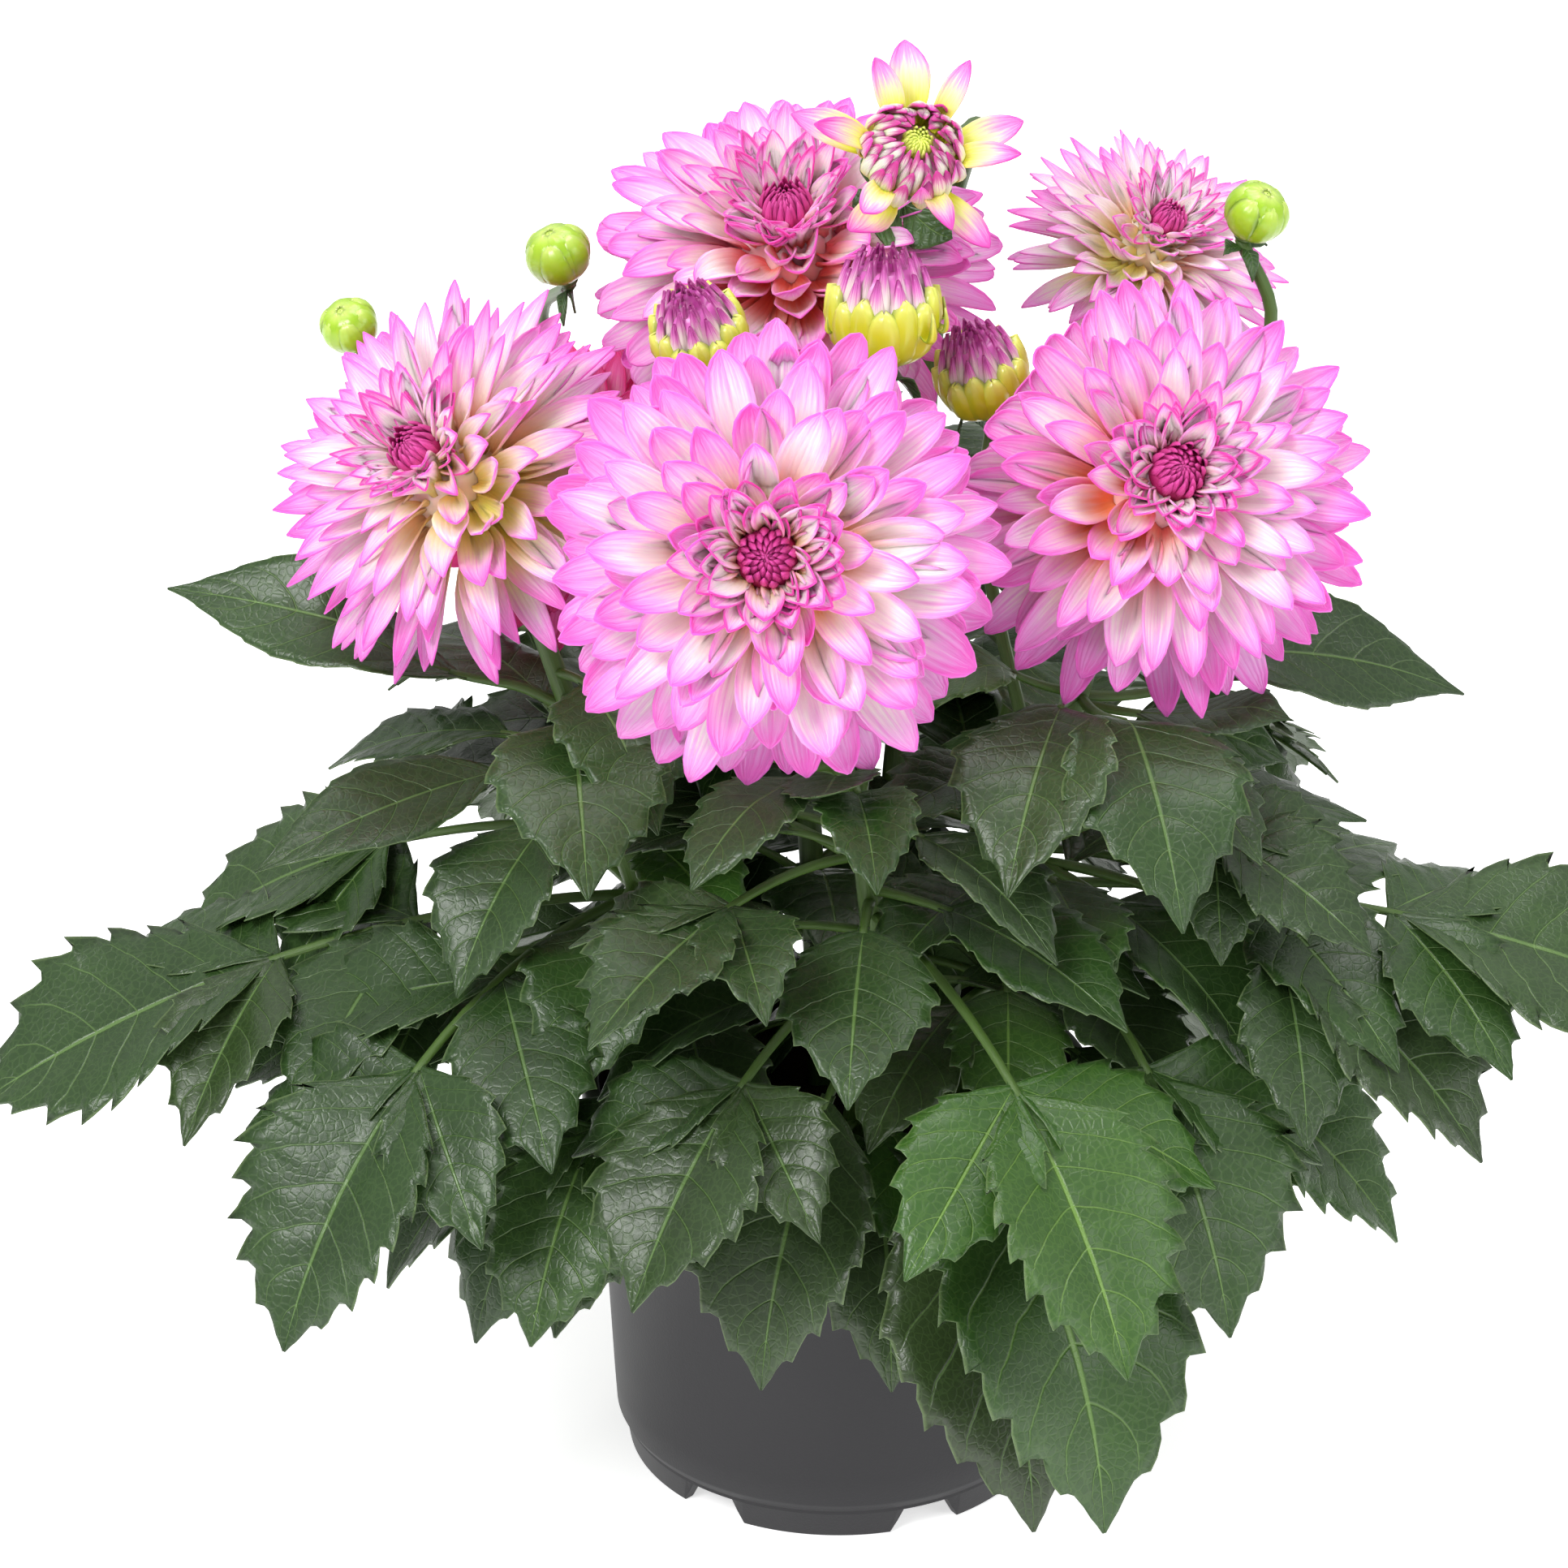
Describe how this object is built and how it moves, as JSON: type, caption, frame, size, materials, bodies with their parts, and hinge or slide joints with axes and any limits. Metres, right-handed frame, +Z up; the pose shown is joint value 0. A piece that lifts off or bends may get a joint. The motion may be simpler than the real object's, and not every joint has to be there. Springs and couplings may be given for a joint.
{
  "type": "potted dahlia",
  "caption": "Bushy flowering plant with layered pink blooms, an opening bloom, round and striped buds and toothed compound leaves, in a round tapered pot of soil with a notched foot.",
  "frame": {"origin": "on the ground under the middle of the pot and of the plant's bounding box", "axes": "+X to the right of the plant seen from its front, -Y towards its front, +Z up along the pot's axis"},
  "size_m": [0.4918, 0.3328, 0.4256],
  "materials": {
    "pot_plastic": "matte moulded charcoal plastic",
    "soil": "crumbly dark potting soil",
    "foliage": "satin dark green leaf",
    "petals": "soft matte pink petal",
    "bloom_eye": "soft dark magenta florets",
    "opening_eye": "soft pale green florets",
    "green_bud": "glossy yellow-green sepals",
    "striped_bud": "glossy yellow-green sepals under purple petal tips"
  },
  "bodies": {
    "root": {"pot": "pot_plastic", "soil": "soil", "stem_front": "foliage", "stem_left": "foliage", "stem_right": "foliage", "stem_top": "foliage", "stem_back_right": "foliage", "stem_opening": "foliage", "stem_back_left": "foliage", "bloom_front": "petals", "bloom_left": "petals", "bloom_right": "petals", "bloom_top": "petals", "bloom_back_right": "petals", "bloom_back_left": "petals", "bloom_opening": "petals", "eye_front": "bloom_eye", "eye_left": "bloom_eye", "eye_right": "bloom_eye", "eye_top": "bloom_eye", "eye_back_right": "bloom_eye", "eye_back_left": "bloom_eye", "eye_opening": "opening_eye", "bud_1": "green_bud", "bud_2": "green_bud", "bud_6": "green_bud", "bud_3": "striped_bud", "bud_4": "striped_bud", "bud_5": "striped_bud"}
  },
  "joints": []
}
